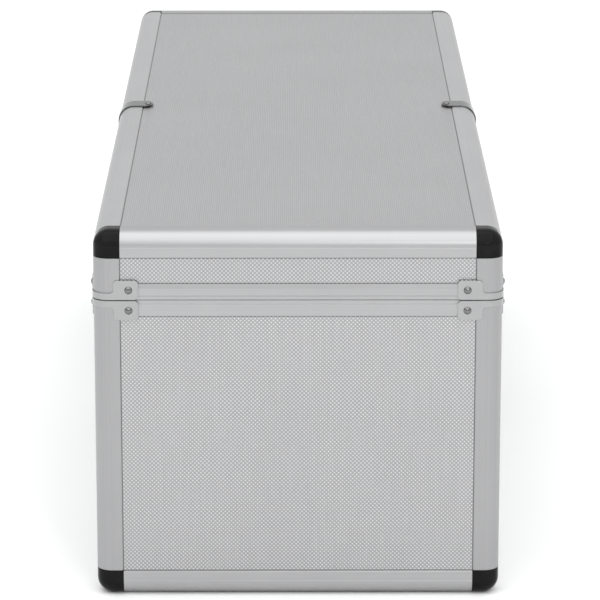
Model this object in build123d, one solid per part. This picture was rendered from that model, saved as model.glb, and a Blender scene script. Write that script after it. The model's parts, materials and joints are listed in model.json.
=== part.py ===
from build123d import *

import math
import os

# Long aluminium-framed case with a hinged lid, lying on its bottom.
# Millimetres. X runs across the case with the latches at +X and the hinges at -X,
# Y runs along it, and Z = 0 is the surface it stands on.

# --- driving dimensions -----------------------------------------------------------------
WIDTH = 330.0
LENGTH = 980.0
HEIGHT = 308.0

# edge profile: a rounded corner extrusion that holds two panels in its slots
RADIUS = 13.0
LEG = 21.5
LIP = 1.2
PANEL = 3.2
FLANGE = 1.0
WALL = LIP + PANEL + FLANGE
SLOT_END = 9.0
PANEL_EDGE = 9.5
FLANGE_END = 17.0
GROOVE = 0.6
GROOVE_DEPTH = 0.2
BEVEL = 1.3
BEVEL_DROP = 0.6

# moulded corners
CORNER = 22.0

# closing frame between base and lid
BASE_TOP = 251.3
LID_BOTTOM = 251.8
RIM_HEIGHT = 13.2
RIM_SETBACK = 0.2
RIM_STEP = 0.9
RIM_STEP_HEIGHT = 3.4
RIM_SLOPE_HEIGHT = 4.0
RIM_BREAK = 0.5
TONGUE_DEPTH = (2.6, 4.0)
TONGUE_HEIGHT = 2.7
TONGUE_PLAY = 0.5
BASE_RIM_WEB = 3.8
LID_RIM_WEB = 3.0

# lining glued to the inside
LINING = 2.0
LINING_GAP = 0.1
LINING_BASE_TOP = 250.6
LINING_LID_BOTTOM = 252.6

# blind rivets
RIVET_R = 1.6
RIVET_FIT = 0.05
HEAD_R = 3.3
HEAD_H = 1.9
TAIL_R = 2.5
TAIL_H = 1.2

# corner clips round the vertical edges at the joint between base and lid
CLIP = 1.0
CLIP_REACH = 36.5
CLIP_EAR_START = 16.5
CLIP_EAR_HEIGHT = 16.0
CLIP_BAND_HEIGHT = 5.4
CLIP_GAP = 0.2
CLIP_EAR_ROUND = 3.0
CLIP_BLEND = 3.0
CLIP_OVERLAP = 4.0
CLIP_RIVET_U = 28.7
CLIP_RIVET_Z = 8.2

# straps over the long top edges at mid-length
STRAP = 1.2
STRAP_WIDTH = 21.6
STRAP_REACH = 31.0
STRAP_TAB_ROUND = 9.5
STRAP_RIVET_U = 26.2

# hinges on the rear wall
HINGE_Y = (-295.0, 295.0)
HINGE_HALF = 34.0
HINGE_LEAF = 1.5
HINGE_LEAF_ROUND = 2.0
HINGE_PIVOT_OUT = 4.2
HINGE_PIVOT_Z = 251.5
HINGE_KNUCKLE_R = 3.0
HINGE_PIN_R = 1.2
HINGE_PIN_HEAD_R = 2.1
HINGE_PIN_HEAD = 1.0
HINGE_RUNNING = 0.05
HINGE_MIDDLE_HALF = 11.0
HINGE_KNUCKLE_GAP = 0.4
HINGE_LEAF_CLEAR = 2.5
HINGE_TONGUE_LAP = 3.0
HINGE_LEAF_HEIGHT = 28.0
HINGE_RIVET_T = 24.0
HINGE_RIVET_ROWS = (8.5, 22.5)

# draw latches on the front wall
LATCH_Y = (-284.0, 284.0)
LATCH_PLATE = 1.2
LATCH_PLATE_ROUND = 3.0
LATCH_PLATE_HALF = 17.0
LATCH_PLATE_Z = (216.5, 250.8)
LATCH_RIVET_T = 13.6
LATCH_RIVET_Z = (222.5, 243.1)
LATCH_CHEEK = (9.0, 10.2)
LATCH_CHEEK_OUT = 8.0
LATCH_CHEEK_NOSE = 2.5
LATCH_CHEEK_Z = (237.5, 248.0)
LEVER_PIVOT = (5.0, 243.0)
LEVER_PIN_R = 1.3
LEVER_PIN_HEAD_R = 2.1
LEVER_PIN_HEAD = 0.8
LEVER_HALF = 8.5
LEVER_FLANGE = 1.2
LEVER_FACE_OUT = (1.6, 2.8)
LEVER_FLANGE_IN = 3.0
LEVER_HEAD_R = 3.2
LEVER_FLANGE_END = -17.0
LEVER_FLANGE_TAPER = 0.3
LEVER_NOTCH_END = -13.5
LEVER_NOTCH_HALF = 6.6
LEVER_BEND_Z = -18.0
LEVER_TIP = (6.3, -27.0)
LEVER_TIP_EDGE = (1.1, 0.5)
HOOK_PIVOT = (-1.1, -7.5)
HOOK_PIN_R = 1.1
HOOK_EYE_R = 2.2
HOOK_HALF = 6.0
HOOK_PLATE = 1.2
HOOK_CLEAR = 0.3
HOOK_CHAMFER = 0.4
HOOK_CLAW_BOTTOM = 258.3
HOOK_CLAW_IN = 1.5
KEEPER_PLATE = 1.2
KEEPER_HALF = 13.0
KEEPER_Z = (252.8, 274.0)
KEEPER_LEDGE_OUT = 3.0
KEEPER_LEDGE_Z = (256.6, 258.0)
KEEPER_LEDGE_HALF = 7.0
KEEPER_RIVET_T = 7.6
KEEPER_RIVET_Z = 268.6
RUNNING = 0.05

# carrying handle at the middle of the front wall
HANDLE_PIVOT = (7.5, 171.0)
HANDLE_STUB_R = 3.0
HANDLE_STUB_SHORT = 0.6
HANDLE_ARM_HEAD_R = 3.5
HANDLE_LUG_T = (59.2, 67.2)
HANDLE_LUG_R = 5.6
HANDLE_PLATE = 1.5
HANDLE_PLATE_ROUND = 4.0
HANDLE_PLATE_T = (54.0, 72.0)
HANDLE_PLATE_Z = (153.0, 189.0)
HANDLE_RIVET_Z = 13.0
HANDLE_ARM_T = (50.5, 58.5)
HANDLE_ARM_OUT = (4.0, 11.0)
HANDLE_BAR_Z = (132.5, 141.5)
HANDLE_GRIP_Z = (129.0, 145.0)
HANDLE_GRIP_OUT = (1.6, 15.4)
HANDLE_GRIP_HALF = 49.5
HANDLE_GRIP_ROUND = 5.0
HANDLE_GRIP_FIT = 0.05

UP = Vector(0, 0, 1)
SIDES = {
    "front": (Vector(1, 0, 0), WIDTH / 2, LENGTH / 2),
    "rear": (Vector(-1, 0, 0), WIDTH / 2, LENGTH / 2),
    "near": (Vector(0, -1, 0), LENGTH / 2, WIDTH / 2),
    "far": (Vector(0, 1, 0), LENGTH / 2, WIDTH / 2),
}


# --- placing things on a wall -----------------------------------------------------------
def face_plane(side, along=0.0):
    """Plane on a wall's outer envelope: local X along the wall, local Y up, local Z outward."""
    outward, distance, _ = SIDES[side]
    tangent = UP.cross(outward)
    return Plane(origin=outward * distance + tangent * along, x_dir=tangent, z_dir=outward)


def section_plane(side, along=0.0):
    """Plane across a wall: local X outward, local Y up, local Z along the wall."""
    outward, distance, _ = SIDES[side]
    tangent = UP.cross(outward)
    return Plane(origin=outward * distance + tangent * along, x_dir=outward, z_dir=tangent * -1)


def slab(plane, low, high):
    """Box between two corners in a plane's own coordinates."""
    size = [b - a for a, b in zip(low, high)]
    middle = [(a + b) / 2 for a, b in zip(low, high)]
    return plane * Pos(*middle) * Box(*size)


def prism(plane, points, low, high):
    """Straight-sided outline drawn in a plane and extruded from low to high along its normal."""
    outline = make_face(Polyline(*points, close=True))
    return plane * Pos(0, 0, low) * extrude(outline, high - low, dir=(0, 0, 1))


def rod(plane, x, y, radius, low, high):
    """Round bar along a plane's normal."""
    return plane * Pos(x, y, (low + high) / 2) * Cylinder(radius, high - low)


def rounded_plate(plane, low, high, thickness, radius, seat=0.0):
    """Flat plate with rounded corners, standing on a plane at the given seat height."""
    width, height = high[0] - low[0], high[1] - low[1]
    middle = Pos((low[0] + high[0]) / 2, (low[1] + high[1]) / 2, seat)
    return plane * middle * extrude(RectangleRounded(width, height, radius), thickness)


def group(solids):
    """Several separate solids in one node."""
    return Compound(children=[solid for shape in solids for solid in shape.solids()])


# --- rivets -----------------------------------------------------------------------------
def rivet_head():
    """Low spherical dome with its flat side at Z = 0."""
    sphere_r = (HEAD_R**2 + HEAD_H**2) / (2 * HEAD_H)
    half_angle = math.asin(HEAD_R / sphere_r) / 2
    middle = (sphere_r * math.sin(half_angle), HEAD_H - sphere_r * (1 - math.cos(half_angle)))
    arc = ThreePointArc((HEAD_R, 0), middle, (0, HEAD_H))
    outline = make_face([Line((0, 0), (HEAD_R, 0)), arc, Line((0, HEAD_H), (0, 0))])
    return revolve(Plane.XZ * outline, Axis.Z)


def rivet(seat, grip):
    """Blind rivet whose head sits on the seat plane and whose tail grips at a depth below it."""
    shank = Pos(0, 0, -grip / 2) * Cylinder(RIVET_R, grip)
    tail = Pos(0, 0, -grip - TAIL_H / 2) * Cylinder(TAIL_R, TAIL_H)
    return seat * (rivet_head() + shank + tail)


def meets(box, point, reach):
    """Whether a bounding box comes within reach of a point."""
    low, high = box.min, box.max
    return all(a - reach <= p <= b + reach for a, p, b in zip(low, point, high))


def drilled(shape, seats):
    """Cut each rivet's hole, and room for its tail, out of a piece that it passes through."""
    for seat, grip in seats:
        if not meets(shape.bounding_box(), seat.position, grip + TAIL_H):
            continue
        hole = Pos(0, 0, -grip / 2) * Cylinder(RIVET_R + RIVET_FIT, grip)
        pocket = Pos(0, 0, -grip - TAIL_H / 2) * Cylinder(TAIL_R + RIVET_FIT, TAIL_H + 2 * RIVET_FIT)
        shape = shape - seat * (hole + pocket)
    return shape


def seats_on(side, along, places, seat, depth):
    """Rivet seats on a wall at (distance along, height) places, with the grip down to a depth."""
    plane = face_plane(side, along)
    return [(plane * Pos(t, z, seat), seat + depth) for t, z in places]


# --- aluminium frame --------------------------------------------------------------------
def edge_section():
    """Corner extrusion: outer corner at the origin, legs along +X and +Y, panel slots inside."""
    leg = [
        (RADIUS, 0),
        (RADIUS + GROOVE / 2, GROOVE_DEPTH),
        (RADIUS + GROOVE, 0),
        (LEG - BEVEL, 0),
        (LEG, BEVEL_DROP),
        (LEG, LIP),
        (SLOT_END, LIP),
        (SLOT_END, LIP + PANEL),
        (FLANGE_END, LIP + PANEL),
        (FLANGE_END, WALL),
    ]
    other = [(y, x) for x, y in reversed(leg)]
    middle = RADIUS * (1 - math.sqrt(0.5))
    arc = ThreePointArc((0, RADIUS), (middle, middle), (RADIUS, 0))
    return make_face([Polyline(*leg, (WALL, WALL), *other), arc])


def profile(start, along, inward_a, inward_b, length):
    """Corner extrusion from a point, with its legs along two inward directions."""
    right_handed = inward_a.cross(inward_b).dot(along) > 0
    x_dir = inward_a if right_handed else inward_b
    plane = Plane(origin=start, x_dir=x_dir, z_dir=along)
    return extrude(plane * edge_section(), length, dir=along)


def post(sx, sy, low, high):
    """Upright profile at one vertical edge."""
    start = Vector(sx * WIDTH / 2, sy * LENGTH / 2, low)
    return profile(start, UP, Vector(-sx, 0, 0), Vector(0, -sy, 0), high - low)


def long_edge(sx, z, inward_z):
    """Profile along Y, between two moulded corners."""
    half = LENGTH / 2 - CORNER
    start = Vector(sx * WIDTH / 2, -half, z)
    return profile(start, Vector(0, 1, 0), Vector(-sx, 0, 0), Vector(0, 0, inward_z), 2 * half)


def short_edge(sy, z, inward_z):
    """Profile along X, between two moulded corners."""
    half = WIDTH / 2 - CORNER
    start = Vector(-half, sy * LENGTH / 2, z)
    return profile(start, Vector(1, 0, 0), Vector(0, -sy, 0), Vector(0, 0, inward_z), 2 * half)


def rim_half_length(side):
    """Half the length of a closing profile between the uprights' lips."""
    return SIDES[side][2] - LEG


def base_rim(side):
    """Lower closing profile: panel slot below, tongue on top."""
    top = BASE_TOP
    bottom = top - RIM_HEIGHT
    slot_top = top - BASE_RIM_WEB
    points = [
        (-RIM_STEP, top),
        (-RIM_STEP, top - RIM_STEP_HEIGHT + RIM_BREAK),
        (-RIM_SETBACK, top - RIM_STEP_HEIGHT),
        (-RIM_SETBACK, bottom + RIM_SLOPE_HEIGHT),
        (-RIM_STEP, bottom),
        (-LIP, bottom),
        (-LIP, slot_top),
        (-LIP - PANEL, slot_top),
        (-LIP - PANEL, bottom),
        (-WALL, bottom),
        (-WALL, top),
        (-TONGUE_DEPTH[1], top),
        (-TONGUE_DEPTH[1], top + TONGUE_HEIGHT),
        (-TONGUE_DEPTH[0], top + TONGUE_HEIGHT),
        (-TONGUE_DEPTH[0], top),
    ]
    half = rim_half_length(side)
    return prism(section_plane(side), points, -half, half)


def lid_rim(side):
    """Upper closing profile: groove for the tongue below, panel slot above."""
    low = LID_BOTTOM
    high = low + RIM_HEIGHT
    groove_top = low + TONGUE_HEIGHT + TONGUE_PLAY
    slot_low = groove_top + LID_RIM_WEB
    points = [
        (-RIM_STEP, low),
        (-TONGUE_DEPTH[0] + TONGUE_PLAY, low),
        (-TONGUE_DEPTH[0] + TONGUE_PLAY, groove_top),
        (-TONGUE_DEPTH[1] - TONGUE_PLAY, groove_top),
        (-TONGUE_DEPTH[1] - TONGUE_PLAY, low),
        (-WALL, low),
        (-WALL, high),
        (-LIP - PANEL, high),
        (-LIP - PANEL, slot_low),
        (-LIP, slot_low),
        (-LIP, high),
        (-RIM_STEP, high),
        (-RIM_SETBACK, high - RIM_SLOPE_HEIGHT),
        (-RIM_SETBACK, low + RIM_STEP_HEIGHT),
        (-RIM_STEP, low + RIM_STEP_HEIGHT - RIM_BREAK),
    ]
    half = rim_half_length(side)
    return prism(section_plane(side), points, -half, half)


# --- panels and lining ------------------------------------------------------------------
def wall_panel(side, low, high):
    """Upright panel, held in the slots of the frame round it."""
    half = SIDES[side][2] - PANEL_EDGE
    return slab(face_plane(side), (-half, low, -LIP - PANEL), (half, high, -LIP))


def flat_panel(outer_z, inward_z):
    """Top or bottom panel."""
    size = (WIDTH - 2 * PANEL_EDGE, LENGTH - 2 * PANEL_EDGE, PANEL)
    return Pos(0, 0, outer_z + inward_z * (LIP + PANEL / 2)) * Box(*size)


def lining(low, high, closed_at_low):
    """Open tray of foam sheet that lines one half of the case."""
    gap = WALL + LINING_GAP
    middle = Pos(0, 0, (low + high) / 2)
    outer = middle * Box(WIDTH - 2 * gap, LENGTH - 2 * gap, high - low)
    shift = LINING if closed_at_low else -LINING
    inner_size = (WIDTH - 2 * gap - 2 * LINING, LENGTH - 2 * gap - 2 * LINING, high - low)
    return outer - middle * Pos(0, 0, shift) * Box(*inner_size)


# --- moulded corners and steel clips ----------------------------------------------------
def corner_cap():
    """Moulded corner at the origin, filling the +X +Y +Z octant and slotted for three panels."""
    block = Box(CORNER, CORNER, CORNER, align=(Align.MIN, Align.MIN, Align.MIN))
    at_origin = [e for e in block.edges() if (e @ 0).length < 1e-6 or (e @ 1).length < 1e-6]
    block = fillet(at_origin, RADIUS)
    room = CORNER - WALL
    block = block - Pos(WALL, WALL, WALL) * Box(room, room, room, align=(Align.MIN,) * 3)
    reach = CORNER - SLOT_END
    for size, place in (
        ((reach, reach, PANEL), (SLOT_END, SLOT_END, LIP)),
        ((reach, PANEL, reach), (SLOT_END, LIP, SLOT_END)),
        ((PANEL, reach, reach), (LIP, SLOT_END, SLOT_END)),
    ):
        block = block - Pos(*place) * Box(*size, align=(Align.MIN,) * 3)
    return block


def corner_caps(z, inward_z):
    """The four moulded corners at the bottom or at the top."""
    cap = corner_cap()
    if inward_z < 0:
        cap = mirror(cap, about=Plane.XY)
    caps = []
    for sx in (-1, 1):
        for sy in (-1, 1):
            turned = cap if sx < 0 else mirror(cap, about=Plane.YZ)
            turned = turned if sy < 0 else mirror(turned, about=Plane.XZ)
            caps.append(Pos(sx * WIDTH / 2, sy * LENGTH / 2, z) * turned)
    return group(caps)


def clip_band(low, high):
    """Narrow steel band round each vertical edge."""
    middle = Pos(0, 0, (low + high) / 2)
    height = high - low
    outer = RectangleRounded(WIDTH + 2 * CLIP, LENGTH + 2 * CLIP, RADIUS + CLIP)
    ring = extrude(outer - RectangleRounded(WIDTH, LENGTH, RADIUS), height / 2, both=True)
    keep = CLIP_EAR_START + CLIP_OVERLAP
    clear_x = Box(WIDTH - 2 * keep, LENGTH + 4 * CLIP, height)
    clear_y = Box(WIDTH + 4 * CLIP, LENGTH - 2 * keep, height)
    return (middle * (ring - clear_x - clear_y)).solids()


def clip_blend(side, end, low, up):
    """Small web that rounds the inside corner between a clip's band and its ear."""
    half = SIDES[side][2]
    t_ear = end * (half - CLIP_EAR_START)
    t_far = t_ear + end * CLIP_BLEND
    z_band = low + up * CLIP_BAND_HEIGHT
    z_far = z_band + up * CLIP_BLEND
    t_range, z_range = sorted((t_ear, t_far)), sorted((z_band, z_far))
    plane = face_plane(side)
    web = slab(plane, (t_range[0], z_range[0], 0), (t_range[1], z_range[1], CLIP))
    return web - rod(plane, t_far, z_far, CLIP_BLEND, 0, CLIP)


def corner_clips(edge_z, up, seats):
    """Steel clips at the four vertical edges: a band round the edge and a riveted ear each side."""
    low = edge_z + up * CLIP_GAP
    bands = clip_band(*sorted((low, low + up * CLIP_BAND_HEIGHT)))
    ear_z = sorted((low, low + up * CLIP_EAR_HEIGHT))
    ears = []
    for side, (_, _, half) in SIDES.items():
        for end in (-1, 1):
            t_range = sorted((end * (half - CLIP_EAR_START), end * (half - CLIP_REACH)))
            corners = ((t_range[0], ear_z[0]), (t_range[1], ear_z[1]))
            ears.append(rounded_plate(face_plane(side), *corners, CLIP, CLIP_EAR_ROUND))
            ears.append(clip_blend(side, end, low, up))
    clips = []
    for band in bands:
        whole = band
        for ear in ears:
            if meets(ear.bounding_box(), band.center(), CLIP_REACH):
                whole = whole + ear
        clips.append(drilled(whole, seats))
    return group(clips)


def clip_seats(edge_z, up):
    """Rivet seats on all eight clip ears of one half."""
    z = edge_z + up * CLIP_RIVET_Z
    seats = []
    for side, (_, _, half) in SIDES.items():
        ends = [(end * (half - CLIP_RIVET_U), z) for end in (-1, 1)]
        seats += seats_on(side, 0, ends, CLIP, WALL)
    return seats


# --- straps over the long top edges -----------------------------------------------------
def strap(sx):
    """Steel strap over a long top edge: an arc over the rounding and a rounded tab each way."""
    outer = RADIUS + STRAP
    inner = RADIUS
    centre = Vector(sx * (WIDTH / 2 - RADIUS), 0, HEIGHT - RADIUS)
    quarter_box = Box(outer, STRAP_WIDTH, outer, align=(Align.MIN, Align.CENTER, Align.MIN))
    tube = Rot(90, 0, 0) * (Cylinder(outer, STRAP_WIDTH) - Cylinder(inner, STRAP_WIDTH))
    arc = tube & quarter_box
    if sx < 0:
        arc = mirror(arc, about=Plane.YZ)
    bend = Pos(*centre) * arc
    tab_length = STRAP_REACH - RADIUS
    tab = extrude(RectangleRounded(2 * tab_length, STRAP_WIDTH, STRAP_TAB_ROUND), STRAP)
    tab = tab & Box(tab_length, STRAP_WIDTH, 4 * STRAP, align=(Align.MIN, Align.CENTER, Align.CENTER))
    top_tab = Plane(origin=(sx * (WIDTH / 2 - RADIUS), 0, HEIGHT), x_dir=(-sx, 0, 0)) * tab
    side_plane = Plane(origin=(sx * WIDTH / 2, 0, HEIGHT - RADIUS), x_dir=(0, 0, -1), z_dir=(sx, 0, 0))
    return bend + top_tab + side_plane * tab


def strap_seats():
    """One rivet through each tab."""
    seats = []
    for sx, side in ((1, "front"), (-1, "rear")):
        top = Pos(sx * (WIDTH / 2 - STRAP_RIVET_U), 0, HEIGHT + STRAP)
        seats.append((top, STRAP + LIP + PANEL))
        seats += seats_on(side, 0, [(0, HEIGHT - STRAP_RIVET_U)], STRAP, LIP + PANEL)
    return seats


# --- hinges -----------------------------------------------------------------------------
def hinge_spans():
    """Knuckle spans along the pin: the middle one is the lid's, the outer two the base's."""
    inner = HINGE_MIDDLE_HALF
    outer = inner + HINGE_KNUCKLE_GAP
    return [(-inner, inner)], [(-HINGE_HALF, -outer), (outer, HINGE_HALF)]


def hinge_leaf(y, up, spans, seats):
    """Flat leaf with its knuckles: up is +1 for the lid's leaf and -1 for the base's."""
    face = face_plane("rear", y)
    cross = section_plane("rear", y)
    near_z = HINGE_PIVOT_Z + up * HINGE_LEAF_CLEAR
    far_z = HINGE_PIVOT_Z + up * HINGE_LEAF_HEIGHT
    z_low, z_high = sorted((near_z, far_z))
    leaf = rounded_plate(face, (-HINGE_HALF, z_low), (HINGE_HALF, z_high), HINGE_LEAF, HINGE_LEAF_ROUND)
    for low, high in spans:
        tongue_z = sorted((HINGE_PIVOT_Z, near_z + up * HINGE_TONGUE_LAP))
        leaf = leaf + slab(face, (low, tongue_z[0], 0), (high, tongue_z[1], HINGE_LEAF))
        leaf = leaf + rod(cross, HINGE_PIVOT_OUT, HINGE_PIVOT_Z, HINGE_KNUCKLE_R, -high, -low)
    hole_r = HINGE_PIN_R + (HINGE_RUNNING if up > 0 else 0)
    leaf = leaf - rod(cross, HINGE_PIVOT_OUT, HINGE_PIVOT_Z, hole_r, -HINGE_HALF, HINGE_HALF)
    return drilled(leaf, seats)


def hinge_pin(y):
    """Pin with a flat head at each end, pressed into the base's knuckles."""
    cross = section_plane("rear", y)
    pin = rod(cross, HINGE_PIVOT_OUT, HINGE_PIVOT_Z, HINGE_PIN_R, -HINGE_HALF, HINGE_HALF)
    for end in (-1, 1):
        span = sorted((end * HINGE_HALF, end * (HINGE_HALF + HINGE_PIN_HEAD)))
        pin = pin + rod(cross, HINGE_PIVOT_OUT, HINGE_PIVOT_Z, HINGE_PIN_HEAD_R, *span)
    return pin


def hinge_seats(y, up):
    """Four rivets in each leaf."""
    places = [
        (t, HINGE_PIVOT_Z + up * row) for t in (-HINGE_RIVET_T, HINGE_RIVET_T) for row in HINGE_RIVET_ROWS
    ]
    return seats_on("rear", y, places, HINGE_LEAF, WALL)


# --- draw latches -----------------------------------------------------------------------
def latch_base_plate(y, seats):
    """Plate riveted to the base, with two cheeks that carry the lever's pins."""
    face = face_plane("front", y)
    plate = rounded_plate(
        face,
        (-LATCH_PLATE_HALF, LATCH_PLATE_Z[0]),
        (LATCH_PLATE_HALF, LATCH_PLATE_Z[1]),
        LATCH_PLATE,
        LATCH_PLATE_ROUND,
    )
    cross = section_plane("front", y)
    pivot_out, pivot_z = LEVER_PIVOT
    for end in (-1, 1):
        span = sorted((end * LATCH_CHEEK[0], end * LATCH_CHEEK[1]))
        low, high = LATCH_CHEEK_Z
        outline = [
            (LATCH_PLATE / 2, low),
            (pivot_out, low),
            (LATCH_CHEEK_OUT, pivot_z - LATCH_CHEEK_NOSE),
            (LATCH_CHEEK_OUT, pivot_z + LATCH_CHEEK_NOSE),
            (pivot_out, high),
            (LATCH_PLATE / 2, high),
        ]
        plate = plate + prism(cross, outline, *span)
    plate = plate - rod(cross, pivot_out, pivot_z, LEVER_PIN_R, -LATCH_CHEEK[1], LATCH_CHEEK[1])
    return drilled(plate, seats)


def latch_pins(y):
    """Two stub pins, fixed in the cheeks, that the lever turns on."""
    cross = section_plane("front", y)
    inner = LEVER_HALF - LEVER_FLANGE
    pins = []
    for end in (-1, 1):
        span = sorted((end * inner, end * LATCH_CHEEK[1]))
        head = sorted((end * LATCH_CHEEK[1], end * (LATCH_CHEEK[1] + LEVER_PIN_HEAD)))
        pin = rod(cross, *LEVER_PIVOT, LEVER_PIN_R, *span)
        pins.append(pin + rod(cross, *LEVER_PIVOT, LEVER_PIN_HEAD_R, *head))
    return pins


def latch_lever(y):
    """Lever: two flanges on the pins, and a face plate that is notched for the hook and flares out."""
    cross = section_plane("front", y)
    pivot_out, pivot_z = LEVER_PIVOT
    face_in, face_out = LEVER_FACE_OUT
    tip_out, tip_z = LEVER_TIP
    flange = [
        (-LEVER_FLANGE_IN, 0),
        (-LEVER_FLANGE_IN, LEVER_FLANGE_END),
        (face_in, LEVER_FLANGE_END),
        (face_in + LEVER_FLANGE_TAPER, 0),
    ]
    face = [
        (face_in, LEVER_HEAD_R),
        (face_in, LEVER_BEND_Z),
        (tip_out, tip_z),
        (tip_out + LEVER_TIP_EDGE[0], tip_z + LEVER_TIP_EDGE[1]),
        (face_out, LEVER_BEND_Z + LEVER_TIP_EDGE[1]),
        (face_out, LEVER_HEAD_R),
    ]
    lever = prism(cross, [(pivot_out + x, pivot_z + z) for x, z in face], -LEVER_HALF, LEVER_HALF)
    notch_top = pivot_z + 2 * LEVER_HEAD_R
    notch_bottom = pivot_z + LEVER_NOTCH_END
    notch = [
        (pivot_out, notch_bottom),
        (pivot_out + 2 * face_out, notch_bottom),
        (pivot_out + 2 * face_out, notch_top),
        (pivot_out, notch_top),
    ]
    lever = lever - prism(cross, notch, -LEVER_NOTCH_HALF, LEVER_NOTCH_HALF)
    for end in (-1, 1):
        span = sorted((end * (LEVER_HALF - LEVER_FLANGE), end * LEVER_HALF))
        side = prism(cross, [(pivot_out + x, pivot_z + z) for x, z in flange], *span)
        lever = lever + side + rod(cross, pivot_out, pivot_z, LEVER_HEAD_R, *span)
    lever = lever - rod(cross, pivot_out, pivot_z, LEVER_PIN_R + RUNNING, -LEVER_HALF, LEVER_HALF)
    hook_x, hook_z = pivot_out + HOOK_PIVOT[0], pivot_z + HOOK_PIVOT[1]
    return lever - rod(cross, hook_x, hook_z, HOOK_PIN_R, -LEVER_HALF, LEVER_HALF)


def latch_hook_pin(y):
    """Pin fixed in the lever's flanges, which the hook turns on."""
    cross = section_plane("front", y)
    x, z = LEVER_PIVOT[0] + HOOK_PIVOT[0], LEVER_PIVOT[1] + HOOK_PIVOT[1]
    return rod(cross, x, z, HOOK_PIN_R, -LEVER_HALF, LEVER_HALF)


def latch_hook(y):
    """Hook: a rolled eye on the pin, a flat shank and a claw that sits on the keeper's ledge."""
    cross = section_plane("front", y)
    x, z = LEVER_PIVOT[0] + HOOK_PIVOT[0], LEVER_PIVOT[1] + HOOK_PIVOT[1]
    inner = KEEPER_LEDGE_OUT + HOOK_CLEAR
    outer = inner + HOOK_PLATE
    claw_top = HOOK_CLAW_BOTTOM + HOOK_PLATE
    outline = [
        (inner, z),
        (outer, z),
        (outer, claw_top - HOOK_CHAMFER),
        (outer - HOOK_CHAMFER, claw_top),
        (HOOK_CLAW_IN, claw_top),
        (HOOK_CLAW_IN, HOOK_CLAW_BOTTOM),
        (inner, HOOK_CLAW_BOTTOM),
    ]
    hook = prism(cross, outline, -HOOK_HALF, HOOK_HALF)
    hook = hook + rod(cross, x, z, HOOK_EYE_R, -HOOK_HALF, HOOK_HALF)
    return hook - rod(cross, x, z, HOOK_PIN_R + RUNNING, -HOOK_HALF, HOOK_HALF)


def latch_keeper(y, seats):
    """Plate riveted to the lid, with a folded ledge for the hook."""
    face = face_plane("front", y)
    low, high = (-KEEPER_HALF, KEEPER_Z[0]), (KEEPER_HALF, KEEPER_Z[1])
    plate = rounded_plate(face, low, high, KEEPER_PLATE, LATCH_PLATE_ROUND)
    ledge_low = (-KEEPER_LEDGE_HALF, KEEPER_LEDGE_Z[0], KEEPER_PLATE / 2)
    ledge_high = (KEEPER_LEDGE_HALF, KEEPER_LEDGE_Z[1], KEEPER_LEDGE_OUT)
    return drilled(plate + slab(face, ledge_low, ledge_high), seats)


def latch_seats(y):
    """Four rivets in the base plate."""
    places = [(t, z) for t in (-LATCH_RIVET_T, LATCH_RIVET_T) for z in LATCH_RIVET_Z]
    return seats_on("front", y, places, LATCH_PLATE, WALL)


def keeper_seats(y):
    """Two rivets in the keeper."""
    places = [(t, KEEPER_RIVET_Z) for t in (-KEEPER_RIVET_T, KEEPER_RIVET_T)]
    return seats_on("front", y, places, KEEPER_PLATE, WALL)


# --- carrying handle --------------------------------------------------------------------
def handle_bracket(end, seats):
    """Riveted plate with a bored lug for one end of the bail."""
    face = face_plane("front")
    t_low, t_high = sorted((end * HANDLE_PLATE_T[0], end * HANDLE_PLATE_T[1]))
    low, high = (t_low, HANDLE_PLATE_Z[0]), (t_high, HANDLE_PLATE_Z[1])
    plate = rounded_plate(face, low, high, HANDLE_PLATE, HANDLE_PLATE_ROUND, seat=-LIP)
    cross = section_plane("front")
    span = sorted((-end * HANDLE_LUG_T[0], -end * HANDLE_LUG_T[1]))
    x, z = HANDLE_PIVOT
    root = [
        (-LIP, z - HANDLE_LUG_R),
        (x, z - HANDLE_LUG_R),
        (x, z + HANDLE_LUG_R),
        (-LIP, z + HANDLE_LUG_R),
    ]
    lug = prism(cross, root, *span) + rod(cross, x, z, HANDLE_LUG_R, *span)
    bracket = plate + lug - rod(cross, x, z, HANDLE_STUB_R + RUNNING, *span)
    return drilled(bracket, seats)


def handle_bail():
    """Steel bail: a bar inside the grip, two arms and the stubs that turn in the lugs."""
    cross = section_plane("front")
    x, z = HANDLE_PIVOT
    bar_low, bar_high = HANDLE_BAR_Z
    middle = (HANDLE_ARM_OUT[0] + HANDLE_ARM_OUT[1]) / 2
    bar_r = (bar_high - bar_low) / 2
    bail = rod(cross, middle, (bar_low + bar_high) / 2, bar_r, -HANDLE_ARM_T[0], HANDLE_ARM_T[0])
    for end in (-1, 1):
        span = sorted((end * HANDLE_ARM_T[0], end * HANDLE_ARM_T[1]))
        stub = sorted((end * HANDLE_ARM_T[1], end * (HANDLE_LUG_T[1] - HANDLE_STUB_SHORT)))
        arm = [
            (HANDLE_ARM_OUT[0], bar_low),
            (HANDLE_ARM_OUT[1], bar_low),
            (HANDLE_ARM_OUT[1], z),
            (HANDLE_ARM_OUT[0], z),
        ]
        bail = bail + prism(cross, arm, *span) + rod(cross, x, z, HANDLE_ARM_HEAD_R, *span)
        bail = bail + rod(cross, x, z, HANDLE_STUB_R, *stub)
    return bail


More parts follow.
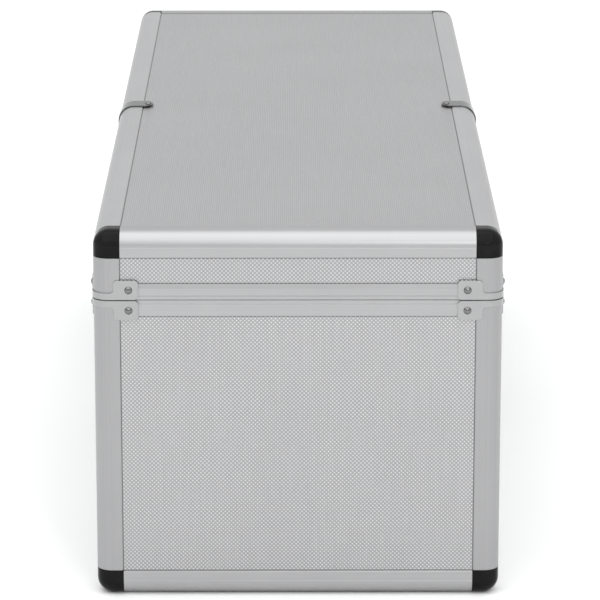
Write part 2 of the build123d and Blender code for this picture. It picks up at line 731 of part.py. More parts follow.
def handle_grip():
    """Moulded grip round the bail's bar."""
    face = face_plane("front")
    low = (-HANDLE_GRIP_HALF, HANDLE_GRIP_Z[0], HANDLE_GRIP_OUT[0])
    high = (HANDLE_GRIP_HALF, HANDLE_GRIP_Z[1], HANDLE_GRIP_OUT[1])
    grip = slab(face, low, high)
    grip = fillet(grip.edges().filter_by(Axis.Y), HANDLE_GRIP_ROUND)
    bar_z = sum(HANDLE_BAR_Z) / 2
    bore_r = (HANDLE_BAR_Z[1] - HANDLE_BAR_Z[0]) / 2 + HANDLE_GRIP_FIT
    middle = sum(HANDLE_ARM_OUT) / 2
    return grip - rod(section_plane("front"), middle, bar_z, bore_r, -HANDLE_GRIP_HALF, HANDLE_GRIP_HALF)


def handle_seats():
    """Two rivets in each bracket."""
    z = HANDLE_PIVOT[1]
    t = sum(HANDLE_PLATE_T) / 2
    places = [(end * t, z + up * HANDLE_RIVET_Z) for end in (-1, 1) for up in (-1, 1)]
    return seats_on("front", 0, places, HANDLE_PLATE - LIP, LIP + PANEL)


# --- the whole case ---------------------------------------------------------------------
CORNERS = {
    "near_front": (1, -1),
    "near_rear": (-1, -1),
    "far_front": (1, 1),
    "far_rear": (-1, 1),
}
ENDS = {"near": -1, "far": 1}


def half_frame(prefix, seats):
    """Uprights, edge profiles, closing profiles and panels of the base or the lid."""
    is_base = prefix == "base"
    outer_z, inward_z = (0, 1) if is_base else (HEIGHT, -1)
    post_z = (CORNER, BASE_TOP) if is_base else (LID_BOTTOM, HEIGHT - CORNER)
    lid_slot_low = LID_BOTTOM + TONGUE_HEIGHT + TONGUE_PLAY + LID_RIM_WEB
    slot_end = BASE_TOP - BASE_RIM_WEB if is_base else lid_slot_low
    edge_stop = outer_z + inward_z * PANEL_EDGE
    panel_z = sorted((edge_stop, slot_end - inward_z * (PANEL_EDGE - SLOT_END)))
    rim = base_rim if is_base else lid_rim
    nodes = {}
    for name, (sx, sy) in CORNERS.items():
        nodes[f"{prefix}_post_{name}"] = post(sx, sy, *post_z)
    for side, (outward, _, _) in SIDES.items():
        if side in ENDS:
            nodes[f"{prefix}_edge_{side}"] = short_edge(outward.Y, outer_z, inward_z)
        else:
            nodes[f"{prefix}_edge_{side}"] = long_edge(outward.X, outer_z, inward_z)
        nodes[f"{prefix}_rim_{side}"] = rim(side)
        nodes[f"{prefix}_panel_{side}"] = wall_panel(side, *panel_z)
    flat_name = "base_panel_bottom" if is_base else "lid_panel_top"
    nodes[flat_name] = flat_panel(outer_z, inward_z)
    floor_z = outer_z + inward_z * (WALL + LINING_GAP)
    mouth_z = LINING_BASE_TOP if is_base else LINING_LID_BOTTOM
    nodes[f"{prefix}_lining"] = lining(*sorted((floor_z, mouth_z)), closed_at_low=is_base)
    return {name: drilled(shape, seats) for name, shape in nodes.items()}


def build():
    """Every node of the case by name."""
    base_clip_seats = clip_seats(BASE_TOP, -1)
    lid_clip_seats = clip_seats(LID_BOTTOM, 1)
    base_hinge_seats = [seat for y in HINGE_Y for seat in hinge_seats(y, -1)]
    lid_hinge_seats = [seat for y in HINGE_Y for seat in hinge_seats(y, 1)]
    plate_seats = [seat for y in LATCH_Y for seat in latch_seats(y)]
    ledge_seats = [seat for y in LATCH_Y for seat in keeper_seats(y)]
    base_seats = base_clip_seats + base_hinge_seats + plate_seats + handle_seats()
    lid_seats = lid_clip_seats + lid_hinge_seats + ledge_seats + strap_seats()

    nodes = half_frame("base", base_seats)
    nodes.update(half_frame("lid", lid_seats))
    nodes["base_ball_corners"] = corner_caps(0, 1)
    nodes["lid_ball_corners"] = corner_caps(HEIGHT, -1)
    nodes["base_corner_clips"] = corner_clips(BASE_TOP, -1, base_clip_seats)
    nodes["lid_corner_clips"] = corner_clips(LID_BOTTOM, 1, lid_clip_seats)
    nodes["lid_mid_straps"] = group([drilled(strap(sx), strap_seats()) for sx in (-1, 1)])
    nodes["base_rivets"] = group([rivet(*seat) for seat in base_seats])
    nodes["lid_rivets"] = group([rivet(*seat) for seat in lid_seats])

    lid_spans, base_spans = hinge_spans()
    lid_leaves = [hinge_leaf(y, 1, lid_spans, lid_hinge_seats) for y in HINGE_Y]
    base_leaves = [hinge_leaf(y, -1, base_spans, base_hinge_seats) for y in HINGE_Y]
    nodes["hinge_lid_leaves"] = group(lid_leaves)
    nodes["hinge_base_leaves"] = group(base_leaves)
    nodes["hinge_pins"] = group([hinge_pin(y) for y in HINGE_Y])

    nodes["latch_base_plates"] = group([latch_base_plate(y, plate_seats) for y in LATCH_Y])
    nodes["latch_pivot_pins"] = group([pin for y in LATCH_Y for pin in latch_pins(y)])
    nodes["latch_keepers"] = group([latch_keeper(y, ledge_seats) for y in LATCH_Y])
    for end, y in zip(ENDS, LATCH_Y):
        nodes[f"latch_lever_{end}"] = latch_lever(y)
        nodes[f"latch_hook_pin_{end}"] = latch_hook_pin(y)
        nodes[f"latch_hook_{end}"] = latch_hook(y)

    nodes["handle_brackets"] = group([handle_bracket(end, handle_seats()) for end in (-1, 1)])
    nodes["handle_bail"] = handle_bail()
    nodes["handle_grip"] = handle_grip()
    return nodes


os.makedirs("parts", exist_ok=True)
for node_name, node_shape in build().items():
    export_step(node_shape, f"parts/{node_name}.step")
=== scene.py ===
"""Looks for the aluminium-framed case: materials, rounded edges, grip, lining, floor, light and camera."""

import json
import math

import bmesh
import bpy
from mathutils import Euler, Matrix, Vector, noise


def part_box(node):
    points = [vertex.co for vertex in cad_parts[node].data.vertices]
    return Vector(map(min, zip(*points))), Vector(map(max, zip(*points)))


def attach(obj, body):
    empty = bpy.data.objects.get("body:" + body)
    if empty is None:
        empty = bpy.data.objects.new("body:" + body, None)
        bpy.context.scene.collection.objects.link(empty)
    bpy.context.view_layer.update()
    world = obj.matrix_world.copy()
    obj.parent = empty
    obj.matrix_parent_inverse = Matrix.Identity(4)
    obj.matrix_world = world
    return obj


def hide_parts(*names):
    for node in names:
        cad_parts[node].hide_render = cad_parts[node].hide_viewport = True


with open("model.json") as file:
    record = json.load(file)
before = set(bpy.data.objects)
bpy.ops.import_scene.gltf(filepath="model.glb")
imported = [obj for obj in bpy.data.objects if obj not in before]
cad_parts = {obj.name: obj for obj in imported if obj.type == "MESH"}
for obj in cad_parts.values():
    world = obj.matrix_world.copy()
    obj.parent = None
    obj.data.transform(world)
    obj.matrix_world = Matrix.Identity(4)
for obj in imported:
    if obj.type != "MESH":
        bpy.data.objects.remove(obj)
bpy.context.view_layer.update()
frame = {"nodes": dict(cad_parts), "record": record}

MM = 0.001
WALL_AXES = {"front": "YZ", "rear": "YZ", "near": "XZ", "far": "XZ", "top": "XY", "bottom": "XY"}
END_WALLS = ("near", "far")
NOISE_SPAN = (0.3, 0.7)
STREAK_DETAIL = 2.0


# --- node helpers -----------------------------------------------------------------------
class Graph:
    """A material's node tree with its principled shader, and short ways to add nodes to it."""

    def __init__(self, name):
        self.material = bpy.data.materials.new(name)
        self.material.use_nodes = True
        self.nodes = self.material.node_tree.nodes
        self.links = self.material.node_tree.links
        self.shader = self.nodes["Principled BSDF"]

    def add(self, kind, inputs=None, **settings):
        """A node with settings as attributes; inputs map a socket to a value or another socket."""
        node = self.nodes.new(kind)
        for key, value in settings.items():
            setattr(node, key, value)
        for key, value in (inputs or {}).items():
            self.feed(node.inputs[key], value)
        return node

    def feed(self, socket, value):
        """Link another socket to this one, or set its value."""
        if isinstance(value, bpy.types.NodeSocket):
            self.links.new(value, socket)
        else:
            socket.default_value = value

    def math(self, operation, *values):
        return self.add("ShaderNodeMath", dict(enumerate(values)), operation=operation).outputs[0]

    def place(self):
        """A point of the piece in the row frame, in metres."""
        return self.add("ShaderNodeTexCoord").outputs["Object"]

    def noise(self, vector, scale, detail=3.0):
        """Soft cloudy noise, mostly within NOISE_SPAN."""
        inputs = {"Vector": vector, "Scale": scale, "Detail": detail}
        return self.add("ShaderNodeTexNoise", inputs).outputs["Fac"]

    def streaks(self, axis, along, across):
        """Noise drawn out along one axis, from its scales along that axis and across it."""
        node = self.add("ShaderNodeMapping", {"Vector": self.place()})
        node.inputs["Scale"].default_value = tuple(along if name == axis else across for name in "XYZ")
        return self.noise(node.outputs[0], 1.0, STREAK_DETAIL)

    def between(self, fac, low, high, dark, light):
        """A colour that runs from dark to light as fac runs from low to high."""
        ramp = self.add("ShaderNodeValToRGB", {"Fac": fac}).color_ramp
        for element, position, value in zip(ramp.elements, (low, high), (dark, light)):
            element.position = position
            element.color = (*value, 1.0)
        return self.nodes[-1].outputs["Color"]

    def level(self, fac, low, high):
        """A number that runs from low to high as fac runs from 0 to 1."""
        inputs = {"Value": fac, "To Min": low, "To Max": high}
        return self.add("ShaderNodeMapRange", inputs).outputs["Result"]

    def shaded(self, colour, shade):
        """A colour multiplied by a number."""
        grey = self.add("ShaderNodeCombineColor", {0: shade, 1: shade, 2: shade}).outputs[0]
        mix = self.add("ShaderNodeMix", {"Factor": 1.0}, data_type="RGBA", blend_type="MULTIPLY")
        sockets = [socket for socket in mix.inputs if socket.type == "RGBA"]
        self.feed(sockets[0], colour)
        self.feed(sockets[1], grey)
        return next(socket for socket in mix.outputs if socket.type == "RGBA")

    def bump(self, height, distance, strength):
        inputs = {"Height": height, "Distance": distance, "Strength": strength}
        return self.add("ShaderNodeBump", inputs).outputs["Normal"]

    def finish(self, **sockets):
        """Feed the principled shader's sockets, named with underscores for spaces."""
        for key, value in sockets.items():
            self.feed(self.shader.inputs[key.replace("_", " ")], value)
        return self.material


# --- materials -----------------------------------------------------------------------------
DOT_PITCH = 3.3 * MM
DOT_HEIGHT = 0.32 * MM
DOT_SHARPNESS = 1.4
DOT_SPAN = (0.05, 0.85)
DOT_BUMP = 0.7
VALLEY_DEPTH = 0.35
# Depth of the painted shade in the hollows between the dots.
VALLEY_SHADE = 0.10
# Width and depth of the painted shade along a panel's visible edges, where its frame meets it.
EDGE_SHADOW = 1.1 * MM
EDGE_SHADE = 0.15
# The sheet's colour, and the lighter colour of a painted highlight on the dot tops.
PANEL_DARK = (0.375, 0.375, 0.38)
PANEL_DOT_HIGHLIGHT = (0.68, 0.68, 0.685)
PANEL_METAL = 0.85
PANEL_ROUGH = (0.34, 0.46)
PANEL_ROUGH_SCALE = 240.0
ROLLING_ALONG = 15.0
ROLLING_ACROSS = 700.0
ROLLING_SHADE = (0.93, 1.05)
PANEL_CLOUD_SCALE = 9.0
PANEL_CLOUD_SHADE = (0.95, 1.03)


def embossed_panel(name, axes, lows, highs):
    """Thin aluminium sheet embossed with staggered dots, with painted highlights on the dots, painted
    shade in the hollows between them, and painted shade along the edges where it goes under its frame.
    """
    g = Graph(name)
    split = g.add("ShaderNodeSeparateXYZ", {0: g.place()})
    along = [split.outputs[axis] for axis in axes]
    waves = [g.math("COSINE", g.math("MULTIPLY", value, 2 * math.pi / DOT_PITCH)) for value in along]
    dots = g.math("MULTIPLY", *waves)
    raised = g.math("POWER", g.math("MAXIMUM", dots, 0.0), DOT_SHARPNESS)
    valley = g.math("MAXIMUM", g.math("MULTIPLY", dots, -1.0), 0.0)
    insets = []
    for value, low, high in zip(along, lows, highs):
        insets += [g.math("SUBTRACT", value, low), g.math("SUBTRACT", high, value)]
    inset = g.math("MINIMUM", g.math("MINIMUM", *insets[:2]), g.math("MINIMUM", *insets[2:]))
    # Painted shade: the colour darkens towards the visible edge of the panel, where the frame would shade
    # it.
    inputs = {"Value": inset, "From Max": EDGE_SHADOW, "To Min": EDGE_SHADE, "To Max": 1.0}
    painted_edge_shade = g.add("ShaderNodeMapRange", inputs).outputs["Result"]
    streaks = g.streaks("XYZ"[axes[1]], ROLLING_ALONG, ROLLING_ACROSS)
    cloud = g.noise(g.place(), PANEL_CLOUD_SCALE)
    # Painted highlight: the colour is lighter on the raised dots, as they look where they catch the light.
    colour = g.between(raised, *DOT_SPAN, PANEL_DARK, PANEL_DOT_HIGHLIGHT)
    shade = g.math("MULTIPLY", g.level(cloud, *PANEL_CLOUD_SHADE), g.level(streaks, *ROLLING_SHADE))
    # Painted shade: darker in the hollows between the dots.
    shade = g.math("SUBTRACT", shade, g.math("MULTIPLY", valley, VALLEY_SHADE))
    shade = g.math("MULTIPLY", shade, painted_edge_shade)
    relief = g.math("SUBTRACT", raised, g.math("MULTIPLY", valley, VALLEY_DEPTH))
    normal = g.bump(relief, DOT_HEIGHT, DOT_BUMP)
    rough = g.level(g.noise(g.place(), PANEL_ROUGH_SCALE), *PANEL_ROUGH)
    tone = g.shaded(colour, shade)
    return g.finish(Base_Color=tone, Metallic=PANEL_METAL, Roughness=rough, Normal=normal)


DIE_LINES_ALONG = 3.0
DIE_LINES_ACROSS = 900.0
DIE_LINE_DEPTH = 0.004 * MM
DIE_LINE_BUMP = 0.4
EXTRUDED_CLOUD_SCALE = 14.0
EXTRUDED_DARK = (0.95, 0.95, 0.96)
EXTRUDED_LIGHT = (1.04, 1.04, 1.05)
EXTRUDED_ROUGH = (0.34, 0.42)
EXTRUDED_METAL = 0.9


def extruded(name, along, value):
    """Anodised aluminium extrusion, with faint die lines along its length."""
    g = Graph(name)
    lines = g.streaks(along, DIE_LINES_ALONG, DIE_LINES_ACROSS)
    cloud = g.noise(g.place(), EXTRUDED_CLOUD_SCALE)
    dark = [c * value for c in EXTRUDED_DARK]
    light = [c * value for c in EXTRUDED_LIGHT]
    mixed = g.math("MULTIPLY_ADD", lines, 0.5, g.math("MULTIPLY", cloud, 0.5))
    colour = g.between(mixed, *NOISE_SPAN, dark, light)
    normal = g.bump(lines, DIE_LINE_DEPTH, DIE_LINE_BUMP)
    rough = g.level(cloud, *EXTRUDED_ROUGH)
    return g.finish(Base_Color=colour, Metallic=EXTRUDED_METAL, Roughness=rough, Normal=normal)


SHEET_WAVE_SCALE = 160.0
SHEET_WAVE_DEPTH = 0.05 * MM
SHEET_WAVE_BUMP = 0.6
SMUDGE_SCALE = 45.0
SMUDGE_SPAN = (0.3, 0.75)
SMUDGE_TINT = (0.93, 0.93, 0.94)


def chromed(name, value, rough):
    """Bright-plated pressed steel with the slight waviness of thin sheet."""
    g = Graph(name)
    wave = g.noise(g.place(), SHEET_WAVE_SCALE, 1.0)
    smudge = g.noise(g.place(), SMUDGE_SCALE)
    colour = g.between(smudge, *SMUDGE_SPAN, [value * c for c in SMUDGE_TINT], [value] * 3)
    normal = g.bump(wave, SHEET_WAVE_DEPTH, SHEET_WAVE_BUMP)
    return g.finish(Base_Color=colour, Metallic=1.0, Roughness=g.level(smudge, *rough), Normal=normal)


BLACK_CLOUD_SCALE = 60.0
BLACK_DARK = (0.006, 0.006, 0.006)
BLACK_LIGHT = (0.011, 0.011, 0.011)
BLACK_GRAIN_BUMP = 0.5


def black_plastic(name, rough, grain_scale, grain_depth, specular):
    """Black moulded plastic with a fine moulded grain."""
    g = Graph(name)
    cells = g.noise(g.place(), grain_scale, 2.0)
    cloud = g.noise(g.place(), BLACK_CLOUD_SCALE)
    colour = g.between(cloud, *NOISE_SPAN, BLACK_DARK, BLACK_LIGHT)
    normal = g.bump(cells, grain_depth, BLACK_GRAIN_BUMP)
    roughness = g.level(cloud, *rough)
    return g.finish(Base_Color=colour, Roughness=roughness, Specular_IOR_Level=specular, Normal=normal)


FOAM_CELL_SCALE = 700.0
FOAM_CELL_DEPTH = 0.3 * MM
FOAM_CELL_BUMP = 0.7
FOAM_ROUGH = (0.75, 0.95)
FOAM_CLOUD_SCALE = 25.0
FOAM_DARK = (0.022, 0.022, 0.024)
FOAM_LIGHT = (0.036, 0.036, 0.039)


def foam(name):
    """Black closed-cell foam sheet with a pebbled skin."""
    g = Graph(name)
    inputs = {"Vector": g.place(), "Scale": FOAM_CELL_SCALE}
    cells = g.add("ShaderNodeTexVoronoi", inputs).outputs["Distance"]
    cloud = g.noise(g.place(), FOAM_CLOUD_SCALE)
    colour = g.between(cloud, *NOISE_SPAN, FOAM_DARK, FOAM_LIGHT)
    normal = g.bump(cells, FOAM_CELL_DEPTH, FOAM_CELL_BUMP)
    return g.finish(Base_Color=colour, Roughness=g.level(cells, *FOAM_ROUGH), Normal=normal)


# Painted light and shade: one anodised aluminium given a different value for each direction it runs, so
# the long edges look lit and the posts shaded.
EXTRUDED_SHADE_BY_AXIS = {"X": 0.40, "Y": 0.475, "Z": 0.355}
RIM_VALUE = 0.40
EXTRUDED = {axis: extruded(f"extruded_{axis}", axis, value) for axis, value in EXTRUDED_SHADE_BY_AXIS.items()}
RIM = {axis: extruded(f"rim_{axis}", axis, RIM_VALUE) for axis in "XY"}
CHROME = chromed("chromed_steel", value=0.37, rough=(0.16, 0.26))
# Painted reflection: the straps' plating gets a low value so they look as if they mirror dark
# surroundings.
STRAP_CHROME_DARK_REFLECTION = chromed("polished_strap", value=0.12, rough=(0.1, 0.18))
BRIGHT_CHROME = chromed("polished_fitting", value=0.42, rough=(0.07, 0.14))
# Painted reflection: the rivet heads get a low value so they look as if they mirror dark surroundings.
RIVET_DARK_REFLECTION = chromed("rivet_steel", value=0.2, rough=(0.04, 0.08))
PIN = chromed("pin_steel", value=0.5, rough=(0.25, 0.35))
BLACK_GLOSS = black_plastic(
    "black_corner", rough=(0.06, 0.09), grain_scale=300.0, grain_depth=0.003 * MM, specular=0.07
)
BLACK_GRIP = black_plastic(
    "black_grip", rough=(0.45, 0.6), grain_scale=1600.0, grain_depth=0.08 * MM, specular=0.4
)
FOAM = foam("foam_lining")


def panel_material(node):
    """Embossed sheet for one panel, with the rectangle of it that its frame leaves in view."""
    half, wall = node.split("_panel_")
    axes = ["XYZ".index(axis) for axis in WALL_AXES[wall]]
    if wall in ("top", "bottom"):
        ends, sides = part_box(f"{half}_edge_near"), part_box(f"{half}_edge_front")
        lows, highs = (-sides[0][0], ends[1][1]), (sides[0][0], -ends[1][1])
    else:
        rim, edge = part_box(f"{half}_rim_{wall}"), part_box(f"{half}_edge_{wall}")
        along = axes[0]
        height = (edge[1][2], rim[0][2]) if half == "base" else (rim[1][2], edge[0][2])
        lows, highs = (rim[0][along], height[0]), (rim[1][along], height[1])
    return embossed_panel(f"embossed_{half}_{wall}", axes, lows, highs)


def material_for(node):
    """The material of a CAD node, from its name."""
    wall = node.split("_")[-1]
    if "_panel_" in node:
        return panel_material(node)
    if "_post_" in node:
        return EXTRUDED["Z"]
    if "_edge_" in node:
        return EXTRUDED["X" if wall in END_WALLS else "Y"]
    if "_rim_" in node:
        return RIM["X" if wall in END_WALLS else "Y"]
    for word, material in (
        ("ball_corners", BLACK_GLOSS),
        ("lining", FOAM),
        ("rivets", RIVET_DARK_REFLECTION),
        ("pin", PIN),
        ("straps", STRAP_CHROME_DARK_REFLECTION),
        ("latch", BRIGHT_CHROME),
        ("hinge", BRIGHT_CHROME),
        ("handle_b", BRIGHT_CHROME),
        ("grip", BLACK_GRIP),
    ):
        if word in node:
            return material
    return CHROME


# --- pieces ------------------------------------------------------------------------------------
def body_of_node(node):
    """Name of the body that holds a CAD node."""
    bodies = frame["record"]["behaviour"]["bodies"]
    return next(body for body, nodes in bodies.items() if node in nodes)


def stand_for(node, name, mesh):
    """A piece that shows in the place of a CAD node, with its material and body; the node itself is
    hidden.
    """
    mesh.materials.append(material_for(node))
    piece = bpy.data.objects.new(name, mesh)
    bpy.context.scene.collection.objects.link(piece)
    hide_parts(node)
    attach(piece, body_of_node(node))
    return piece


EDGE_ROUND = {
    "_post_": 0.12 * MM,
    "_edge_": 0.12 * MM,
    "_rim_": 0.15 * MM,
    "ball_corners": 0.5 * MM,
    "clips": 0.3 * MM,
    "straps": 0.35 * MM,
}
OTHER_ROUND = 0.2 * MM
ROUND_SEGMENTS = 2
ROUND_ANGLE = 28.0
SHARP_ANGLE = 50.0
FLAT_ANGLE = 0.5
WELD_DISTANCE = 0.002 * MM


def refine(node, width):
    """A copy of a CAD node with welded faces and rounded edges, in the node's place."""
    source = frame["nodes"][node]
    mesh = source.data.copy()
    mesh.name = node + "_fine"
    bm = bmesh.new()
    bm.from_mesh(mesh)
    bmesh.ops.remove_doubles(bm, verts=bm.verts, dist=WELD_DISTANCE)
    bmesh.ops.dissolve_limit(
        bm,
        angle_limit=math.radians(FLAT_ANGLE),
        verts=bm.verts,
        edges=bm.edges,
        use_dissolve_boundaries=False,
    )
    limit = math.radians(ROUND_ANGLE)
    sharp = [e for e in bm.edges if len(e.link_faces) == 2 and e.calc_face_angle(0.0) > limit]
    bmesh.ops.bevel(
        bm,
        geom=sharp,
        offset=width,
        offset_type="OFFSET",
        segments=ROUND_SEGMENTS,
        profile=0.5,
        affect="EDGES",
        clamp_overlap=True,
    )
    for face in bm.faces:
        face.smooth = True
    bm.to_mesh(mesh)
    bm.free()
    if "custom_normal" in mesh.attributes:
        mesh.attributes.remove(mesh.attributes["custom_normal"])
    mesh.set_sharp_from_angle(angle=math.radians(SHARP_ANGLE))
    mesh.materials.clear()
    piece = stand_for(node, node + "_fine", mesh)
    weights = piece.modifiers.new("weights", "WEIGHTED_NORMAL")
    weights.keep_sharp = True


def new_piece(name, bm, node):
    """A finished mesh as the piece that stands for a CAD node."""
    bmesh.ops.recalc_face_normals(bm, faces=bm.faces)
    for face in bm.faces:
        face.smooth = True
    mesh = bpy.data.meshes.new(name)
    bm.to_mesh(mesh)
    bm.free()
    mesh.set_sharp_from_angle(angle=math.radians(SHARP_ANGLE))
    return stand_for(node, name, mesh)


def smooth_step(value):
    """0 below 0, 1 above 1, and an S-curve between."""
    value = min(max(value, 0.0), 1.0)
    return value * value * (3 - 2 * value)


GRIP_AROUND = 56
GRIP_ALONG = 300
GRIP_SQUARENESS = 2.7
GRIP_BORE = 4.56 * MM
GRIP_BORE_OUT = 7.5 * MM
GRIP_RIB = 3.3 * MM
GRIP_RIB_DEPTH = 0.45 * MM
GRIP_FINGERS = 4
GRIP_WAIST = 0.09
GRIP_WAIST_BELOW = 0.4
GRIP_END = 5.0 * MM
GRIP_END_FULL = 0.86


def grip_scale(y, half):
    """How full the grip is along its length: finger swells, and rounded ends."""
    fingers = 0.5 - 0.5 * math.cos(2 * math.pi * GRIP_FINGERS * (y + half) / (2 * half))
    ends = smooth_step((half - abs(y)) / GRIP_END)
    return (1 - GRIP_WAIST * (1 - fingers) * ends) * (GRIP_END_FULL + (1 - GRIP_END_FULL) * ends)


def grip():
    """Moulded grip with finger swells, and ribs on the side that the palm presses."""
    low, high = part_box("handle_grip")
    front_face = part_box("base_edge_front")[1][0]
    bore = (front_face + GRIP_BORE_OUT, (low[2] + high[2]) / 2)
    centre = ((low[0] + high[0]) / 2, bore[1])
    half = (high[1] - low[1]) / 2
    radii = ((high[0] - low[0]) / 2, (high[2] - low[2]) / 2)
    bm = bmesh.new()
    rings = []
    for i in range(GRIP_ALONG + 1):
        y = -half + 2 * half * i / GRIP_ALONG
        full = grip_scale(y, half)
        ribbed = smooth_step((half - abs(y) - 2 * GRIP_END) / GRIP_END)
        rib = ribbed * GRIP_RIB_DEPTH * (0.5 - 0.5 * math.cos(2 * math.pi * y / GRIP_RIB))
        ring = []
        for k in range(GRIP_AROUND):
            angle = 2 * math.pi * k / GRIP_AROUND
            c, s = math.cos(angle), math.sin(angle)
            x = math.copysign(abs(c) ** (2 / GRIP_SQUARENESS), c)
            z = math.copysign(abs(s) ** (2 / GRIP_SQUARENESS), s)
            sink = rib * smooth_step(2 * c)
            fingers = full if s > 0 else 1 - (1 - full) * GRIP_WAIST_BELOW
            out = centre[0] + (radii[0] * full - sink) * x
            up = centre[1] + radii[1] * fingers * z
            ring.append(bm.verts.new((out, y, up)))
        rings.append(ring)
    for end in (half, -half):
        ring = []
        for k in range(GRIP_AROUND):
            angle = 2 * math.pi * k / GRIP_AROUND
            out = bore[0] + GRIP_BORE * math.cos(angle)
            up = bore[1] + GRIP_BORE * math.sin(angle)
            ring.append(bm.verts.new((out, end, up)))
        rings.append(ring)
    for first, second in zip(rings, rings[1:] + rings[:1]):
        for k in range(GRIP_AROUND):
            j = (k + 1) % GRIP_AROUND
            bm.faces.new((first[k], first[j], second[j], second[k]))
    new_piece("handle_grip_moulded", bm, "handle_grip")


FOAM_CELL = 9.0 * MM
FOAM_ROUND = 2.4 * MM
FOAM_ROUND_STOPS = (0.0, 0.25, 0.6, 1.0)
FOAM_SEAM = 0.25 * MM
FOAM_SHEET = 2.0 * MM
FOAM_WAVE = 0.22
FOAM_WAVE_SCALE = 22.0
FOAM_EDGE_THICK = 0.3


def foam_stops(length):
    """Distances along one side of a sheet: close together at its edges, even between."""
    edge = [share * FOAM_ROUND for share in FOAM_ROUND_STOPS]
    count = max(int((length - 2 * FOAM_ROUND) / FOAM_CELL), 2)
    step = (length - 2 * FOAM_ROUND) / count
    inside = [FOAM_ROUND + step * i for i in range(1, count)]
    return edge + inside + [length - d for d in reversed(edge)]


def foam_sheet(bm, corner, u, v, inward, length, height):
    """One soft-edged sheet of foam: flat at the back, slightly wavy and rounded off in front."""
    us, vs = foam_stops(length), foam_stops(height)
    layers = []
    for in_front in (False, True):
        grid = []
        for a in us:
            row = []
            for b in vs:
                place = corner + u * a + v * b
                inset = min(a, length - a, b, height - b)
                round_off = math.sqrt(max(1 - (1 - min(inset / FOAM_ROUND, 1.0)) ** 2, 0.0))
                wave = 1 - FOAM_WAVE * (0.5 + 0.5 * noise.noise(place * FOAM_WAVE_SCALE))
                full = FOAM_EDGE_THICK + (1 - FOAM_EDGE_THICK) * round_off
                thick = FOAM_SHEET * full * wave if in_front else 0.0
                row.append(bm.verts.new(place + inward * thick))
            grid.append(row)
        layers.append(grid)
    columns, rows = len(us), len(vs)
    for grid in layers:
        for i in range(columns - 1):
            for j in range(rows - 1):
                bm.faces.new((grid[i][j], grid[i + 1][j], grid[i + 1][j + 1], grid[i][j + 1]))
    back, front = layers
    rim = [(i, 0) for i in range(columns)] + [(columns - 1, j) for j in range(1, rows)]
    rim += [(i, rows - 1) for i in range(columns - 2, -1, -1)] + [(0, j) for j in range(rows - 2, 0, -1)]
    for (i, j), (m, n) in zip(rim, rim[1:] + rim[:1]):
        bm.faces.new((back[i][j], back[m][n], front[m][n], front[i][j]))


def foam_tray(node):
    """Five sheets of foam that line one half of the case: its floor and its four walls."""
    low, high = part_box(node)
    closed_low = node.startswith("base")
    x, y, z = Vector((1, 0, 0)), Vector((0, 1, 0)), Vector((0, 0, 1))
    size = high - low
    up = z if closed_low else -z
    floor_z = low[2] if closed_low else high[2]
    origin = Vector((low[0], low[1], floor_z))
    inset = FOAM_SHEET + FOAM_SEAM
    lift = up * inset
    wall = size[2] - inset
    bm = bmesh.new()
    foam_sheet(bm, origin, x, y, up, size[0], size[1])
    foam_sheet(bm, origin + lift, y, up, x, size[1], wall)
    foam_sheet(bm, origin + lift + x * size[0], y, up, -x, size[1], wall)
    foam_sheet(bm, origin + lift + x * inset, x, up, y, size[0] - 2 * inset, wall)
    foam_sheet(bm, origin + lift + x * inset + y * size[1], x, up, -y, size[0] - 2 * inset, wall)
    piece = new_piece(node + "_foam", bm, node)


for node_name, node_object in frame["nodes"].items():
    if "_panel_" in node_name:
        node_object.data.materials.clear()
        node_object.data.materials.append(material_for(node_name))
    elif node_name.endswith("_lining"):
        foam_tray(node_name)
    elif node_name == "handle_grip":
        grip()
    else:
        refine(node_name, next((r for word, r in EDGE_ROUND.items() if word in node_name), OTHER_ROUND))


# --- floor, light and camera ------------------------------------------------------------------------
FLOOR_HALF = 30.0
FLOOR_DARK = (0.93, 0.93, 0.93)
FLOOR_LIGHT = (0.95, 0.95, 0.95)
FLOOR_CLOUD_SCALE = 2.0
FLOOR_ROUGH = 0.9


def floor():
    """Plain pale floor."""
    bm = bmesh.new()
    signs = ((-1, -1), (1, -1), (1, 1), (-1, 1))
    bm.faces.new([bm.verts.new((x * FLOOR_HALF, y * FLOOR_HALF, 0)) for x, y in signs])
    mesh = bpy.data.meshes.new("floor")
    bm.to_mesh(mesh)
    bm.free()
    obj = bpy.data.objects.new("floor", mesh)
    bpy.context.scene.collection.objects.link(obj)
    g = Graph("floor")
    tone = g.between(g.noise(g.place(), FLOOR_CLOUD_SCALE), *NOISE_SPAN, FLOOR_DARK, FLOOR_LIGHT)
    obj.data.materials.append(g.finish(Base_Color=tone, Roughness=FLOOR_ROUGH))


SKY_STOPS = ((0.0, 0.80), (0.3, 0.83), (0.6, 1.02), (1.0, 1.2))
SKY_TINT = (0.99, 0.995, 1.0)


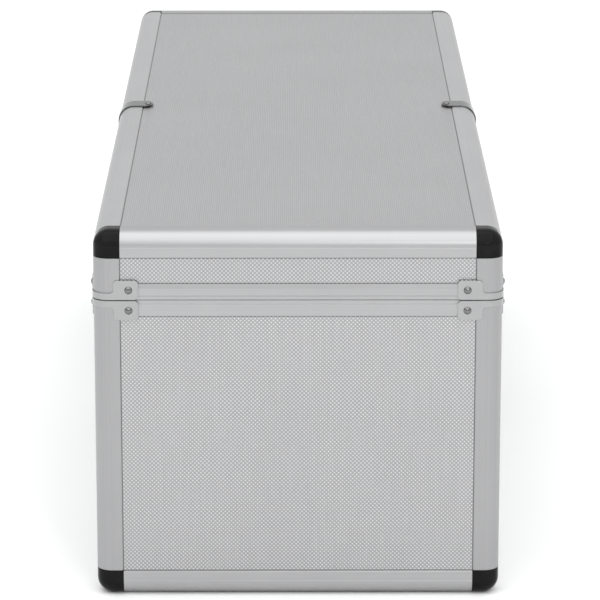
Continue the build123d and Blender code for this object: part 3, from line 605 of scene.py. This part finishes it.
def sky():
    """White to the camera; what the metal mirrors is dimmer low down and bright overhead."""
    world = bpy.data.worlds.new("studio")
    bpy.context.scene.world = world
    world.use_nodes = True
    nodes, links = world.node_tree.nodes, world.node_tree.links
    split = nodes.new("ShaderNodeSeparateXYZ")
    links.new(nodes.new("ShaderNodeTexCoord").outputs["Generated"], split.inputs[0])
    ramp = nodes.new("ShaderNodeValToRGB")
    links.new(split.outputs["Z"], ramp.inputs["Fac"])
    while len(ramp.color_ramp.elements) < len(SKY_STOPS):
        ramp.color_ramp.elements.new(0.5)
    for element, (position, value) in zip(ramp.color_ramp.elements, SKY_STOPS):
        element.position = position
        element.color = (*(value * c for c in SKY_TINT), 1.0)
    links.new(ramp.outputs["Color"], nodes["Background"].inputs["Color"])
    plain = nodes.new("ShaderNodeBackground")
    plain.inputs["Color"].default_value = (1, 1, 1, 1)
    mix = nodes.new("ShaderNodeMixShader")
    links.new(nodes.new("ShaderNodeLightPath").outputs["Is Camera Ray"], mix.inputs[0])
    links.new(nodes["Background"].outputs[0], mix.inputs[1])
    links.new(plain.outputs[0], mix.inputs[2])
    links.new(mix.outputs[0], nodes["World Output"].inputs["Surface"])


def softbox(name, place, aim, size, power):
    """Square area light that points at a place."""
    light = bpy.data.lights.new(name, "AREA")
    light.shape = "SQUARE"
    light.size = size
    light.energy = power
    obj = bpy.data.objects.new(name, light)
    obj.location = place
    obj.rotation_euler = (Vector(aim) - Vector(place)).to_track_quat("-Z", "Y").to_euler()
    bpy.context.scene.collection.objects.link(obj)


CAMERA_PLACE = (-0.0034, -3.2770, 1.0051)
CAMERA_PITCH = 0.2640
CAMERA_YAW = -0.0018
CAMERA_LENS = 215.5
CAMERA_SENSOR = 36.0
CAMERA_REACH = 100.0


def camera():
    """The photograph's viewpoint: above the near end, looking along the case."""
    data = bpy.data.cameras.new("camera")
    data.sensor_width = CAMERA_SENSOR
    data.lens = CAMERA_LENS
    data.clip_end = CAMERA_REACH
    obj = bpy.data.objects.new("camera", data)
    obj.location = CAMERA_PLACE
    obj.rotation_euler = Euler((math.pi / 2 - CAMERA_PITCH, 0.0, CAMERA_YAW))
    bpy.context.scene.collection.objects.link(obj)
    bpy.context.scene.camera = obj


floor()
sky()
softbox("large_light", place=(-0.1, -1.36, 3.3), aim=(0.0, -0.16, 0.2), size=5.0, power=80.0)
softbox("small_light", place=(0.55, -2.96, 1.3), aim=(0.0, -0.46, 0.25), size=0.16, power=7.0)
camera()
bpy.context.scene.view_settings.view_transform = "Standard"
